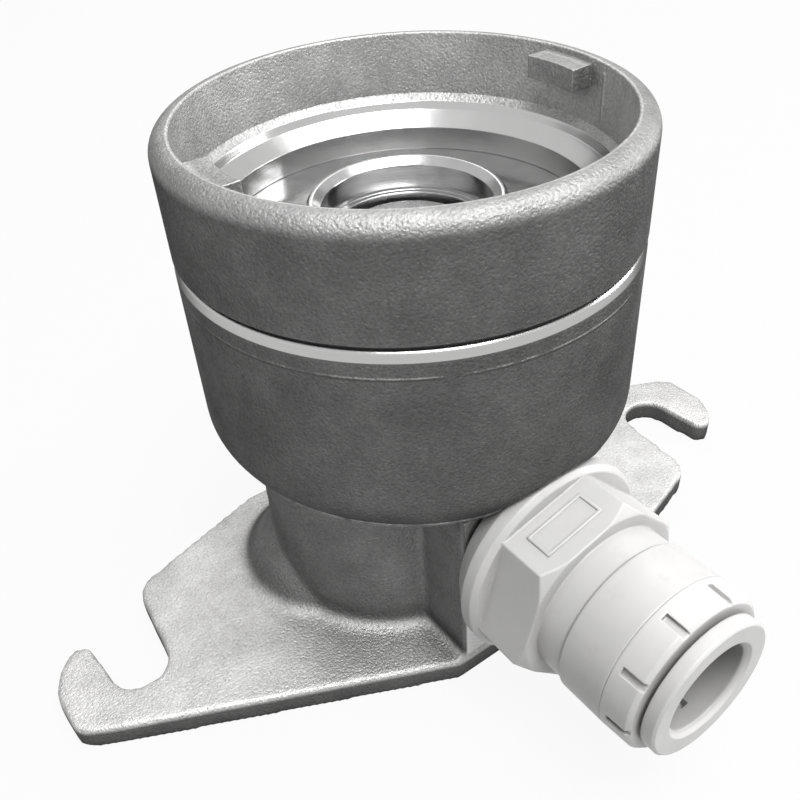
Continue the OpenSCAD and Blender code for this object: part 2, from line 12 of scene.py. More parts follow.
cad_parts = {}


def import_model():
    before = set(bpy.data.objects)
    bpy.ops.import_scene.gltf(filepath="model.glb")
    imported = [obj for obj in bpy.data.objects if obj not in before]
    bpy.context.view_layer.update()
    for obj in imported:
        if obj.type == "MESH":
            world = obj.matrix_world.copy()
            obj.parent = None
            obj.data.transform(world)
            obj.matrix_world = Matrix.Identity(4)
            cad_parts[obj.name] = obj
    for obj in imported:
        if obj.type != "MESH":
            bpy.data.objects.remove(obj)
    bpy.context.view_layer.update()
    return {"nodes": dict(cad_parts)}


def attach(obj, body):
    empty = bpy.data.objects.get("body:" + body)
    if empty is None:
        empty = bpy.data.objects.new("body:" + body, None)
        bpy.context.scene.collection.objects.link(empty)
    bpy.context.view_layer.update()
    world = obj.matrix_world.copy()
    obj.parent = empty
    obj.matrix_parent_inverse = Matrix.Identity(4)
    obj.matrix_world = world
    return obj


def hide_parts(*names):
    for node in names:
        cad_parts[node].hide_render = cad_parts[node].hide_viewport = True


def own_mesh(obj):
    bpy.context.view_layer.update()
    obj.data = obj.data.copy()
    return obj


LOG = logging.getLogger("socket")
MM = 0.001
MM_PER_METRE = 1000.0
MERGE = 0.000001

Number = float | int
Triple = tuple[float, float, float]
Span = tuple[float, float]


class Slot(Enum):
    """Names of material slots, which the script defines but does not use."""

    CAST_STEEL = "cast_steel"
    TURNED_STEEL = "turned_steel"
    SPRING_STEEL = "spring_steel"
    SEAL_RUBBER = "seal_rubber"
    ACETAL = "acetal"


class Body(Enum):
    """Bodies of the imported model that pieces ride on."""

    SOCKET = "socket"


class Sock:
    """Wraps a shader output so that Python operators add Math and Vector Math nodes."""

    def __init__(self, kit: "Graph", out: bpy.types.NodeSocket) -> None:
        """Keeps the graph and the output.

        Args:
            kit: the graph that new nodes go into.
            out: the output that this value stands for.
        """
        self.kit = kit
        self.out = out

    def _math(self, operation: str, *values: "Sock | Number") -> "Sock":
        """Adds one Math node.

        Args:
            operation: the Math node's operation.
            values: its inputs, in order.

        Returns:
            The node's result.
        """
        return self.kit.node("ShaderNodeMath", {"operation": operation}, dict(enumerate(values)))

    def __add__(self, other: "Sock | Number") -> "Sock":
        """Sum of two values."""
        return self._math("ADD", self, other)

    __radd__ = __add__

    def __sub__(self, other: "Sock | Number") -> "Sock":
        """Difference of two values."""
        return self._math("SUBTRACT", self, other)

    def __rsub__(self, other: Number) -> "Sock":
        """Difference with the plain number first."""
        return self._math("SUBTRACT", other, self)

    def __mul__(self, other: "Sock | Number") -> "Sock":
        """Product of two values."""
        return self._math("MULTIPLY", self, other)

    __rmul__ = __mul__

    def __truediv__(self, other: "Sock | Number") -> "Sock":
        """Quotient of two values."""
        return self._math("DIVIDE", self, other)

    def __abs__(self) -> "Sock":
        """Size without sign."""
        return self._math("ABSOLUTE", self)

    def root(self) -> "Sock":
        """Square root."""
        return self._math("SQRT", self)

    def sine(self) -> "Sock":
        """Sine of an angle in radians."""
        return self._math("SINE", self)

    def turn_from(self, across: "Sock") -> "Sock":
        """Angle in radians of the point (across, this value)."""
        return self._math("ARCTAN2", self, across)

    def clamped(self) -> "Sock":
        """This value held between 0 and 1."""
        return self.kit.node("ShaderNodeClamp", {}, {"Value": self})

    def step(self, low: Number, high: Number) -> "Sock":
        """Smooth mask that rises from 0 at low to 1 at high.

        Args:
            low: the value with mask 0.
            high: the value with mask 1, which may be the lower one.

        Returns:
            The mask.
        """
        return self.kit.node(
            "ShaderNodeMapRange",
            {"interpolation_type": "SMOOTHSTEP"},
            {"Value": self, "From Min": low, "From Max": high, "To Min": 0.0, "To Max": 1.0},
        )

    def within(self, low: Number, high: Number, soft: Number) -> "Sock":
        """Mask of the values between two limits.

        Args:
            low: the lower limit.
            high: the upper limit.
            soft: the width of each edge.

        Returns:
            1 inside the limits and 0 outside.
        """
        return self.step(low - soft, low + soft) * self.step(high + soft, high - soft)


class Graph:
    """A shader node graph of a material or of the world."""

    def __init__(self, owner: bpy.types.Material | bpy.types.World) -> None:
        """Empties the owner's graph.

        Args:
            owner: the material or world.
        """
        owner.use_nodes = True
        self.tree = owner.node_tree
        self.tree.nodes.clear()

    def node(
        self,
        kind: str,
        settings: dict[str, object],
        values: dict[int | str, object],
        output: int | str = 0,
    ) -> Sock:
        """Adds a node of any type.

        Args:
            kind: the node's type.
            settings: its own settings, such as an operation.
            values: numbers, colours or links of its inputs, by name or place.
            output: the output that is wanted.

        Returns:
            That output.
        """
        made = self.tree.nodes.new(kind)
        for name, value in settings.items():
            setattr(made, name, value)
        for name, value in values.items():
            socket = made.inputs[name]
            if isinstance(value, Sock):
                self.tree.links.new(value.out, socket)
            else:
                socket.default_value = value
        return Sock(self, made.outputs[output])

    def close(self, kind: str, shader: Sock) -> None:
        """Links a shader to the graph's output.

        Args:
            kind: the output node's type.
            shader: the shader.
        """
        output = self.tree.nodes.new(kind)
        self.tree.links.new(shader.out, output.inputs["Surface"])


class ShaderKit(Graph):
    """One material's node graph."""

    def __init__(self, name: str) -> None:
        """Makes an empty material.

        Args:
            name: the material's name.
        """
        self.material = bpy.data.materials.new(name)
        super().__init__(self.material)
        self._place: Sock | None = None

    def place(self) -> Sock:
        """Object coordinates, in metres."""
        if self._place is None:
            self._place = self.node("ShaderNodeTexCoord", {}, {}, "Object")
        return self._place

    def axes(self) -> tuple[Sock, Sock, Sock]:
        """The three object coordinates, in millimetres."""
        parts = self.tree.nodes.new("ShaderNodeSeparateXYZ")
        self.tree.links.new(self.place().out, parts.inputs[0])
        return tuple(Sock(self, parts.outputs[i]) * MM_PER_METRE for i in range(3))

    def noise(self, scale: float, detail: float = 2.0, rough: float = 0.5, at: Sock | None = None) -> Sock:
        """Noise between 0 and 1.

        Args:
            scale: lumps per millimetre.
            detail: octaves.
            rough: strength of the finer octaves.
            at: the coordinates, or the object's own.

        Returns:
            The noise value.
        """
        values = {"Vector": at or self.place(), "Scale": scale * MM_PER_METRE, "Detail": detail, "Roughness": rough}
        return self.node("ShaderNodeTexNoise", {}, values)

    def cells(self, scale: float) -> Sock:
        """Distance to the nearest of scattered points.

        Args:
            scale: cells per millimetre.

        Returns:
            The distance, in cells.
        """
        values = {"Vector": self.place(), "Scale": scale * MM_PER_METRE}
        return self.node("ShaderNodeTexVoronoi", {"feature": "F1"}, values, "Distance")

    def radius(self) -> Sock:
        """Distance from the cup axis, in millimetres."""
        x, y, _ = self.axes()
        return (x * x + y * y).root()

    def vector(self, x: Sock | Number, y: Sock | Number, z: Sock | Number) -> Sock:
        """Coordinates made of three values."""
        return self.node("ShaderNodeCombineXYZ", {}, {0: x, 1: y, 2: z})

    def spokes(self, width: float) -> Sock:
        """Noise that changes only round the cup axis, as a turned face's reflections do.

        Args:
            width: width of a spoke at 25 mm from the axis, in millimetres.

        Returns:
            The noise value.
        """
        x, y, _ = self.axes()
        radius = self.radius()
        return self.noise(0.025 / width, 1.0, 0.5, self.vector(x / radius, y / radius, 0.0))

    def rings(self, width: float) -> Sock:
        """Uneven tool rings about the cup axis.

        Args:
            width: mean width of a ring, in millimetres.

        Returns:
            The height, from 0 to 1.
        """
        _, _, z = self.axes()
        return self.noise(0.001 / width, 3.0, 0.65, self.vector(self.radius() + z, 0.0, 0.0))

    def blend(self, mask: Sock | float, low: object, high: object) -> Sock:
        """Mixes two colours.

        Args:
            mask: 0 for the first and 1 for the second.
            low: colour or link at 0.
            high: colour or link at 1.

        Returns:
            The mixed colour.
        """
        return self.node("ShaderNodeMix", {"data_type": "RGBA"}, {0: mask, 6: low, 7: high}, 2)

    def ease(self, mask: Sock | float, low: Sock | float, high: Sock | float) -> Sock:
        """Mixes two numbers.

        Args:
            mask: 0 for the first and 1 for the second.
            low: number or link at 0.
            high: number or link at 1.

        Returns:
            The mixed number.
        """
        return self.node("ShaderNodeMix", {"data_type": "FLOAT"}, {0: mask, 2: low, 3: high}, 0)

    def edge_mask(self, radius: float, gain: float) -> Sock:
        """Mask of the sharp edges, from how far the rounded normal leaves the true one.

        Args:
            radius: reach of the rounding, in millimetres.
            gain: strength of the mask.

        Returns:
            1 on edges and 0 on open faces.
        """
        rounded = self.node("ShaderNodeBevel", {"samples": 6}, {"Radius": radius * MM})
        true = self.node("ShaderNodeNewGeometry", {}, {}, "Normal")
        dot = self.node("ShaderNodeVectorMath", {"operation": "DOT_PRODUCT"}, {0: rounded, 1: true}, "Value")
        return ((1.0 - dot) * gain).clamped()

    def corner_shade(self, reach: float) -> Sock:
        """Mask of painted shade in hollows and inner corners, from ambient occlusion.

        Args:
            reach: how far a wall still darkens its neighbour, in millimetres.

        Returns:
            1 deep in a corner and 0 in the open.
        """
        open_part = self.node("ShaderNodeAmbientOcclusion", {"samples": 6}, {"Distance": reach * MM}, "AO")
        return (1.0 - open_part).clamped()

    def soften(self, radius: float) -> Sock:
        """Normal that is rounded over the edges.

        Args:
            radius: radius of the edges, in millimetres.

        Returns:
            The normal.
        """
        return self.node("ShaderNodeBevel", {"samples": 8}, {"Radius": radius * MM})

    def bump(self, height: Sock, depth: float, normal: Sock | None = None) -> Sock:
        """Bump on a normal.

        Args:
            height: height from 0 to 1.
            depth: the depth in millimetres that 1 stands for.
            normal: the normal beneath.

        Returns:
            The bumped normal.
        """
        values: dict[int | str, object] = {"Strength": 1.0, "Distance": depth * MM, "Height": height}
        if normal is not None:
            values["Normal"] = normal
        return self.node("ShaderNodeBump", {}, values)

    def finish(self, **values: object) -> bpy.types.Material:
        """Closes the graph with the surface shader.

        Args:
            values: the shader's inputs, with underscores for spaces.

        Returns:
            The material.
        """
        shader = self.node("ShaderNodeBsdfPrincipled", {}, {k.replace("_", " "): v for k, v in values.items()})
        self.close("ShaderNodeOutputMaterial", shader)
        return self.material


def grey(level: float, tint: float = 0.0) -> tuple[float, float, float, float]:
    """Near-neutral colour.

    Args:
        level: brightness.
        tint: a little warmth, or coolness when negative.

    Returns:
        The colour with alpha.
    """
    return (level * (1.0 + tint), level, level * (1.0 - tint), 1.0)


@dataclass(frozen=True)
class CastSteel:
    """Investment-cast stainless steel: pebbled skin, worn edges and a few machined places."""

    skin: float = 0.12
    # Colour level of the skin where light is painted on it.
    painted_lit: float = 0.4
    worn: float = 0.5
    machined: float = 0.5
    skin_rough: float = 0.58
    grain_mm: float = 0.4
    grain_depth_mm: float = 0.05
    edge_mm: float = 0.8
    spoke_mm: float = 7.0
    spoke_depth_mm: float = 0.22
    line_depth_mm: float = 0.25
    broad_depth_mm: float = 0.4
    ring_depth: float = 0.05
    # Painted shade in hollows and inner corners: how far it reaches and how dark it gets.
    corner_shade_reach_mm: float = 3.0
    corner_shade_dark: float = 0.55
    worn_share: float = 0.75
    worn_rough: float = 0.38
    machined_rough: float = 0.2
    warmth: float = 0.006
    rim_tint: float = 0.15

    def build(
        self,
        name: str,
        machined_mask: Callable[[ShaderKit], Sock],
        painted_lit_mask: Callable[[ShaderKit], Sock],
        rings: Callable[[ShaderKit], Sock],
        lines: Callable[[ShaderKit], Sock],
    ) -> bpy.types.Material:
        """Makes the material.

        Args:
            name: its name.
            machined_mask: gives 1 on the machined places.
            painted_lit_mask: gives 1 where light is painted on the skin, which makes it lighter there.
            rings: gives the height pattern of the tool marks there.
            lines: gives 1 on the thin raised lines that the mould left.

        Returns:
            The material.
        """
        kit = ShaderKit(name)
        mask = machined_mask(kit)
        cast = 1.0 - mask
        pebbles = kit.noise(1.0 / self.grain_mm, 3.0, 0.6)
        pits = kit.cells(0.8 / self.grain_mm).step(0.0, 0.55)
        broad = kit.noise(0.035, 3.0, 0.6)
        stain = kit.noise(0.12, 5.0, 0.68)
        worn = kit.edge_mask(self.edge_mm, 5.0) * kit.noise(0.5, 3.0, 0.6).step(0.25, 0.6)
        # Painted light: the skin takes the lighter level where the mask marks well-lit surfaces.
        level = kit.ease(painted_lit_mask(kit), self.skin, self.painted_lit)
        tone = level * (0.82 + stain.step(0.25, 0.8) * 0.36) * (0.9 + pebbles.step(0.3, 0.75) * 0.3)
        # Painted shade: the skin is darkened in hollows and inner corners.
        tone = tone * (1.0 - kit.corner_shade(self.corner_shade_reach_mm) * self.corner_shade_dark)
        skin = kit.blend(tone.clamped(), grey(0.0), grey(1.0, self.warmth))
        skin = kit.blend(worn * self.worn_share, skin, grey(self.worn, self.warmth))
        colour = kit.blend(mask, skin, grey(self.machined, 0.004))
        rough = kit.ease(broad.step(0.3, 0.7), self.skin_rough - 0.04, self.skin_rough + 0.06)
        rough = kit.ease(worn, rough, self.worn_rough)
        rough = kit.ease(mask, rough, self.machined_rough)
        spokes = kit.spokes(self.spoke_mm)
        height = (pebbles * 0.75 + pits * 0.25) * cast + rings(kit) * mask * self.ring_depth
        normal = kit.bump(height, self.grain_depth_mm * 4.0, kit.soften(self.edge_mm))
        normal = kit.bump(spokes * mask, self.spoke_depth_mm, normal)
        normal = kit.bump(lines(kit), self.line_depth_mm, normal)
        normal = kit.bump(broad, self.broad_depth_mm, normal)
        return kit.finish(
            Base_Color=colour, Metallic=1.0, Roughness=rough, Normal=normal, Specular_Tint=grey(self.rim_tint)
        )


@dataclass(frozen=True)
class TurnedSteel:
    """Bright turned steel with fine tool rings about the cup axis."""

    level: float = 0.45
    rough: float = 0.15
    ring_mm: float = 0.6
    ring_depth_mm: float = 0.02
    spoke_mm: float = 7.0
    spoke_depth_mm: float = 0.22
    spoke_fade_mm: Span = (11.0, 24.0)
    edge_mm: float = 0.25

    def build(self, name: str) -> bpy.types.Material:
        """Makes the material and gives it this name."""
        kit = ShaderKit(name)
        smear = kit.noise(0.25, 3.0, 0.6)
        worn = kit.edge_mask(0.3, 6.0)
        colour = kit.blend(smear.step(0.3, 0.75), grey(self.level * 0.94), grey(self.level * 1.04))
        rough = kit.ease(smear.step(0.35, 0.7), self.rough, self.rough + 0.06) + worn * 0.05
        spokes = kit.spokes(self.spoke_mm) * kit.radius().step(*self.spoke_fade_mm)
        normal = kit.bump(spokes, self.spoke_depth_mm, kit.soften(self.edge_mm))
        normal = kit.bump(kit.rings(self.ring_mm), self.ring_depth_mm, normal)
        return kit.finish(Base_Color=colour, Metallic=1.0, Roughness=rough, Normal=normal)


@dataclass(frozen=True)
class SpringSteel:
    """Drawn wire and pressed clips."""

    level: float = 0.55

    def build(self, name: str) -> bpy.types.Material:
        """Makes the material and gives it this name."""
        kit = ShaderKit(name)
        streak = kit.noise(0.9, 3.0, 0.6)
        colour = kit.blend(streak, grey(self.level * 0.85), grey(self.level * 1.1))
        normal = kit.bump(streak, 0.02, kit.soften(0.12))
        return kit.finish(Base_Color=colour, Metallic=1.0, Roughness=kit.ease(streak, 0.24, 0.4), Normal=normal)


@dataclass(frozen=True)
class SealRubber:
    """Black moulded rubber."""

    level: float = 0.018

    def build(self, name: str) -> bpy.types.Material:
        """Makes the material and gives it this name."""
        kit = ShaderKit(name)
        bloom = kit.noise(0.6, 4.0, 0.6)
        colour = kit.blend(bloom.step(0.4, 0.8), grey(self.level), grey(self.level * 2.2))
        normal = kit.bump(kit.noise(3.0, 2.0), 0.02, kit.soften(0.15))
        return kit.finish(Base_Color=colour, Roughness=kit.ease(bloom, 0.55, 0.75), Normal=normal)


@dataclass(frozen=True)
class Acetal:
    """Pale grey satin acetal with the soft edges of a moulding."""

    level: float = 0.44
    rough: float = 0.42
    edge_mm: float = 0.45
    # Radius and mouth of the painted shade inside the collet's bore.
    bore_mm: float = 6.7
    bore_mouth_mm: Span = (-56.6, -55.6)
    axis_mm: float = 22.1
    glow: float = 0.08
    glow_depth: float = 0.002

    def build(self, name: str) -> bpy.types.Material:
        """Makes the material and gives it this name."""
        kit = ShaderKit(name)
        x, y, z = kit.axes()
        up = z - self.axis_mm
        # Painted shade: mask of the inside of the bore, which is coloured darker.
        depth = (x * x + up * up).root().step(self.bore_mm + 0.2, self.bore_mm - 0.1)
        depth = depth * y.step(*self.bore_mouth_mm)
        flow = kit.noise(0.07, 3.0, 0.55)
        speck = kit.noise(1.6, 3.0, 0.6)
        dust = kit.noise(0.35, 5.0, 0.7)
        scuff = kit.edge_mask(self.edge_mm, 5.0) * kit.noise(0.8, 3.0, 0.6).step(0.4, 0.7)
        colour = kit.blend(flow.step(0.3, 0.7), grey(self.level * 0.94, 0.006), grey(self.level * 1.05, 0.01))
        colour = kit.blend(dust.step(0.52, 0.8) * 0.4, colour, grey(self.level * 0.78, 0.02))
        # Painted shade: the acetal is darkened in hollows and inner corners.
        colour = kit.blend(kit.corner_shade(1.4) * 0.6, colour, grey(self.level * 0.45, 0.03))
        colour = kit.blend(scuff * 0.4, colour, grey(min(0.9, self.level * 1.25), 0.004))
        # Painted shade inside the bore.
        colour = kit.blend(depth, colour, grey(self.level * 0.55, 0.01))
        rough = kit.ease(speck, self.rough - 0.05, self.rough + 0.07)
        normal = kit.bump(speck, 0.012, kit.bump(flow, 0.25, kit.soften(self.edge_mm)))
        return kit.finish(
            Base_Color=colour,
            Roughness=rough,
            Normal=normal,
            Subsurface_Weight=self.glow,
            Subsurface_Radius=(0.8, 0.8, 0.8),
            Subsurface_Scale=self.glow_depth,
        )


def deselect() -> None:
    """Leaves nothing selected, so that an operator acts on the new piece only."""
    bpy.ops.object.select_all(action="DESELECT")


def settle(
    piece: bpy.types.Object,
    name: str,
    material: bpy.types.Material,
    body: Body,
    smooth: float = 35.0,
) -> bpy.types.Object:
    """Names a finished piece, puts its place into its mesh and hands it to the frame.

    Args:
        piece: the piece.
        name: its name.
        material: its finish.
        body: the body that it moves with.
        smooth: edges flatter than this many degrees are shaded smooth.

    Returns:
        The piece.
    """
    deselect()
    piece.select_set(True)
    bpy.context.view_layer.objects.active = piece
    bpy.ops.object.transform_apply(location=True, rotation=True, scale=True)
    bpy.ops.object.shade_smooth_by_angle(angle=math.radians(smooth))
    piece.name = name
    piece.data.name = name
    piece.data.materials.clear()
    piece.data.materials.append(material)
    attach(piece, body.value)
    LOG.info("piece %s: %d faces", name, len(piece.data.polygons))
    return piece


def spun_ring(profile: list[Span], steps: int) -> bpy.types.Object:
    """Spins a closed outline of (radius, height) in millimetres once about the Z axis.

    Args:
        profile: the outline.
        steps: steps of the spin.

    Returns:
        The new object.
    """
    deselect()
    bpy.ops.mesh.primitive_circle_add(vertices=len(profile), radius=1.0, fill_type="NGON")
    ring = bpy.context.object
    for vertex, (radius, height) in zip(ring.data.vertices, profile):
        vertex.co = Vector((radius * MM, 0.0, height * MM))
    bpy.ops.object.mode_set(mode="EDIT")
    bpy.ops.mesh.select_all(action="SELECT")
    bpy.ops.mesh.delete(type="ONLY_FACE")
    bpy.ops.mesh.select_all(action="SELECT")
    bpy.ops.mesh.spin(steps=steps, angle=math.radians(360.0), center=(0, 0, 0), axis=(0, 0, 1), dupli=False)
    bpy.ops.mesh.select_all(action="SELECT")
    bpy.ops.mesh.remove_doubles(threshold=MERGE)
    bpy.ops.mesh.select_all(action="SELECT")
    bpy.ops.mesh.normals_make_consistent(inside=False)
    bpy.ops.object.mode_set(mode="OBJECT")
    return ring


def crisp_copy(
    node: bpy.types.Object, name: str, material: bpy.types.Material, body: Body, angle: float
) -> bpy.types.Object:
    """Stands in for a CAD node with a copy whose chamfers and steps keep their sharp edges.

    Args:
        node: the CAD node.
        name: the copy's name.
        material: its finish.
        body: the body that it moves with.
        angle: edges flatter than this many degrees are shaded smooth.

    Returns:
        The copy.
    """
    deselect()
    copy = bpy.data.objects.new(name, node.data.copy())
    bpy.context.scene.collection.objects.link(copy)
    copy.select_set(True)
    bpy.context.view_layer.objects.active = copy
    bpy.ops.mesh.customdata_custom_splitnormals_clear()
    bpy.ops.object.mode_set(mode="EDIT")
    bpy.ops.mesh.select_all(action="SELECT")
    bpy.ops.mesh.remove_doubles(threshold=MERGE)
    bpy.ops.object.mode_set(mode="OBJECT")
    piece = settle(copy, name, material, body, angle)
    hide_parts(node.name)
    return piece


@dataclass
class Castings:
    """The cast collar and the lower casting with its bowl, neck and plate."""

    joint_mm: float = 61.7
    bevel_mm: float = 1.3
    turned_top_mm: float = 67.1
    turned_radius_mm: float = 27.2
    port_height_mm: float = 22.1
    port_face_mm: float = 25.3
    plate_mm: float = 4.0
    bury_mm: float = 1.5
    voxel_mm: float = 0.5
    relax_steps: int = 6
    bowl_core_mm: float = 24.2
    bowl_round_mm: float = 6.5
    bowl_round_height_mm: float = 38.6
    flash_angle: float = 47.0
    flash_proud_mm: float = 0.3
    wall_line_angle: float = -15.0
    witness_mm: float = 58.0
    crisp_angle: float = 12.0
    cup_radius_mm: float = 28.0
    rim_mm: float = 76.81
    rim_round_mm: float = 2.25
    lug_half_mm: float = 4.35
    lug_radius_mm: float = 24.8
    mask_edge_mm: float = 0.05
    # Limits of the painted light on the cup's inner wall, lugs and rim, and on the plate's top and the neck.
    wall_edge_mm: Span = (28.4, 28.2)
    wall_foot_mm: Span = (61.0, 62.0)
    lug_fade_mm: Span = (26.4, 27.6)
    rim_fade_mm: Span = (74.2, 75.8)
    rim_inner_mm: Span = (27.0, 28.0)
    rim_painted_lit: float = 0.5
    plate_top_mm: Span = (5.6, 4.2)
    plate_foot_mm: Span = (2.9, 3.6)
    neck_mm: Span = (7.0, 31.0)
    neck_painted_lit: float = 0.2
    ring_mm: float = 0.6
    swirl_turn: float = 9.0
    finish: CastSteel = field(default_factory=CastSteel)

    def _collar_machined(self, kit: ShaderKit) -> Sock:
        """Mask of the turned surfaces inside the collar."""
        _, _, z = kit.axes()
        edge = self.mask_edge_mm
        inside = kit.radius().step(self.turned_radius_mm + edge, self.turned_radius_mm - edge)
        return inside * z.step(self.turned_top_mm + 2.0 * edge, self.turned_top_mm - 2.0 * edge)

    def _cup_inside(self, kit: ShaderKit) -> Sock:
        """Mask of painted light on the cup's inner wall and on the rim, with the lugs half as strong."""
        _, _, z = kit.axes()
        radius = kit.radius()
        lugs = radius.step(*self.lug_fade_mm) * 0.5 + 0.5
        inside = radius.step(*self.wall_edge_mm) * z.step(*self.wall_foot_mm) * lugs
        rim = z.step(*self.rim_fade_mm) * radius.step(*self.rim_inner_mm) * self.rim_painted_lit
        return (inside + rim).clamped()

    def _plate_top(self, kit: ShaderKit) -> Sock:
        """Mask of painted light on the plate's top, which fades out up the neck's flare and leaves the plate's side
        darker, and faintly on the neck.
        """
        _, _, z = kit.axes()
        neck = z.within(*self.neck_mm, 1.5) * self.neck_painted_lit
        return z.step(*self.plate_top_mm) * z.step(*self.plate_foot_mm) + neck

    def _turned_rings(self, kit: ShaderKit) -> Sock:
        """Height of fine rings about the cup axis."""
        return kit.rings(self.ring_mm)

    def _wall_line(self, kit: ShaderKit) -> Sock:
        """Mask of the upright line that the mould left on the cup's inner wall."""
        x, y, z = kit.axes()
        turn = y.turn_from(x) * (180.0 / math.pi)
        wall = kit.radius().step(28.9, 28.6) * z.within(69.4, 75.6, 0.3)
        return turn.within(self.wall_line_angle - 0.5, self.wall_line_angle + 0.5, 0.35) * wall

    def _witness_line(self, kit: ShaderKit) -> Sock:
        """Mask of the faint parting line round the bowl."""
        _, _, z = kit.axes()
        fade = kit.noise(0.12, 3.0, 0.6).step(0.35, 0.6)
        return z.within(self.witness_mm - 0.15, self.witness_mm + 0.15, 0.15) * fade

    def _body_machined(self, kit: ShaderKit) -> Sock:
        """Mask of the bright chamfer, the port face and the bored chamber."""
        x, y, z = kit.axes()
        chamfer = z.step(self.joint_mm - self.bevel_mm - 0.3, self.joint_mm - self.bevel_mm - 0.2)
        face = y.step(-self.port_face_mm + 0.3, -self.port_face_mm + 0.12) * abs(x).step(11.4, 11.1)
        face = face * z.within(4.6, 31.8, 0.3)
        bored = kit.radius().step(24.1, 24.0) * z.step(35.2, 35.4) * z.step(56.6, 56.4)
        return (chamfer + face + bored).clamped()

    def _face_rings(self, kit: ShaderKit) -> Sock:
        """Height of the facing cutter's swirl about the port, and of the rings about the cup axis above it."""
        x, _, z = kit.axes()
        up = z - self.port_height_mm
        swirl = ((x * x + up * up).root() * self.swirl_turn).sine() * 0.5 + 0.5
        return kit.ease(z.step(39.0, 40.0), swirl, self._turned_rings(kit))

    def dress(self, nodes: dict[str, bpy.types.Object]) -> bpy.types.Material:
        """Gives the castings their finish.

        Args:
            nodes: the CAD nodes by name.

        Returns:
            The lower casting's material, for the pieces that belong to it.
        """
        # The collar's skin has painted light on its inner wall and rim; the body's has it on the plate's top and
        # faintly on the neck.
        collar = replace(self.finish, edge_mm=0.3).build(
            "cast_collar_steel", self._collar_machined, self._cup_inside, self._turned_rings, self._wall_line
        )
        body = self.finish.build(
            "cast_body_steel", self._body_machined, self._plate_top, self._face_rings, self._witness_line
        )
        assign(nodes["cup_collar"], collar)
        for name in ("lower_bowl", "port_neck", "mounting_plate"):
            assign(nodes[name], body)
        cup = crisp_copy(nodes["cup_collar"], "cup_casting", collar, Body.SOCKET, self.crisp_angle)
        self._straighten_wall(cup)
        crisp_copy(nodes["lower_bowl"], "bowl_casting", body, Body.SOCKET, self.crisp_angle)
        return body

    def _straighten_wall(self, cup: bpy.types.Object) -> None:
        """Sets the inner half of the rim's round back to the cup's straight wall, so that its inner edge is sharp.

        Args:
            cup: the collar's copy.
        """
        wall = self.cup_radius_mm * MM
        lug_half = self.lug_half_mm * MM
        low, high = (self.rim_mm - 2.0 * self.rim_round_mm) * MM, self.rim_mm * MM
        for vertex in cup.data.vertices:
            x, y, z = vertex.co
            radius = math.hypot(x, y)
            if low < z < high and self.lug_radius_mm * MM < radius < wall:
                if abs(y) <= lug_half:
                    vertex.co.x = math.copysign(math.sqrt(wall * wall - y * y), x)
                else:
                    vertex.co.x, vertex.co.y = x * wall / radius, y * wall / radius

    def add_skin(self, nodes: dict[str, bpy.types.Object], material: bpy.types.Material) -> bpy.types.Object:
        """Makes neck and plate one casting, with the soft edges and corners of a mould.

        Args:
            nodes: the CAD nodes by name.
            material: the casting's finish.

        Returns:
            The piece.
        """
        deselect()
        for name in ("port_neck", "mounting_plate"):
            copy = bpy.data.objects.new(name + "_copy", nodes[name].data.copy())
            bpy.context.scene.collection.objects.link(copy)
            copy.select_set(True)
            bpy.context.view_layer.objects.active = copy
            if name == "port_neck":
                for vertex in copy.data.vertices:
                    if vertex.co.z < (self.plate_mm + 0.01) * MM:
                        vertex.co.z -= self.bury_mm * MM
        bpy.ops.object.join()
        skin = bpy.context.object
        bpy.ops.object.mode_set(mode="EDIT")
        bpy.ops.mesh.select_all(action="SELECT")
        bpy.ops.mesh.remove_doubles(threshold=MERGE)
        bpy.ops.object.mode_set(mode="OBJECT")
        shell = skin.modifiers.new("shell", "REMESH")
        shell.mode = "VOXEL"
        shell.voxel_size = self.voxel_mm * MM
        bpy.ops.object.modifier_apply(modifier=shell.name)
        relax = skin.modifiers.new("relax", "SMOOTH")
        relax.factor = 0.5
        relax.iterations = self.relax_steps
        bpy.ops.object.modifier_apply(modifier=relax.name)
        piece = settle(skin, "neck_and_plate_casting", material, Body.SOCKET, 80.0)
        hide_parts("port_neck", "mounting_plate")
        return piece

    def add_flash(self, material: bpy.types.Material) -> bpy.types.Object:
        """Adds the thin uneven flash line along the bowl's lower edge.

        Args:
            material: the casting's finish.

        Returns:
            The piece.
        """
        angle = math.radians(self.flash_angle)
        out = Vector((math.cos(angle), -math.sin(angle)))
        along = Vector((out.y, -out.x))
        foot = Vector((self.bowl_core_mm, self.bowl_round_height_mm)) + out * (self.bowl_round_mm - 0.15)
        tip = foot + out * (self.flash_proud_mm + 0.15)
        corners = [foot + along * 0.5, foot - along * 0.5, tip - along * 0.16, tip + along * 0.16]
        ring = spun_ring([(corner.x, corner.y) for corner in corners], 180)
        cloud = bpy.data.textures.new("flash_cloud", "CLOUDS")
        cloud.noise_scale = 2.2 * MM
        uneven = ring.modifiers.new("uneven", "DISPLACE")
        uneven.texture = cloud
        uneven.texture_coords = "LOCAL"
        uneven.strength = 0.35 * MM
        bpy.ops.object.modifier_apply(modifier=uneven.name)
        return settle(ring, "bowl_flash_line", material, Body.SOCKET)


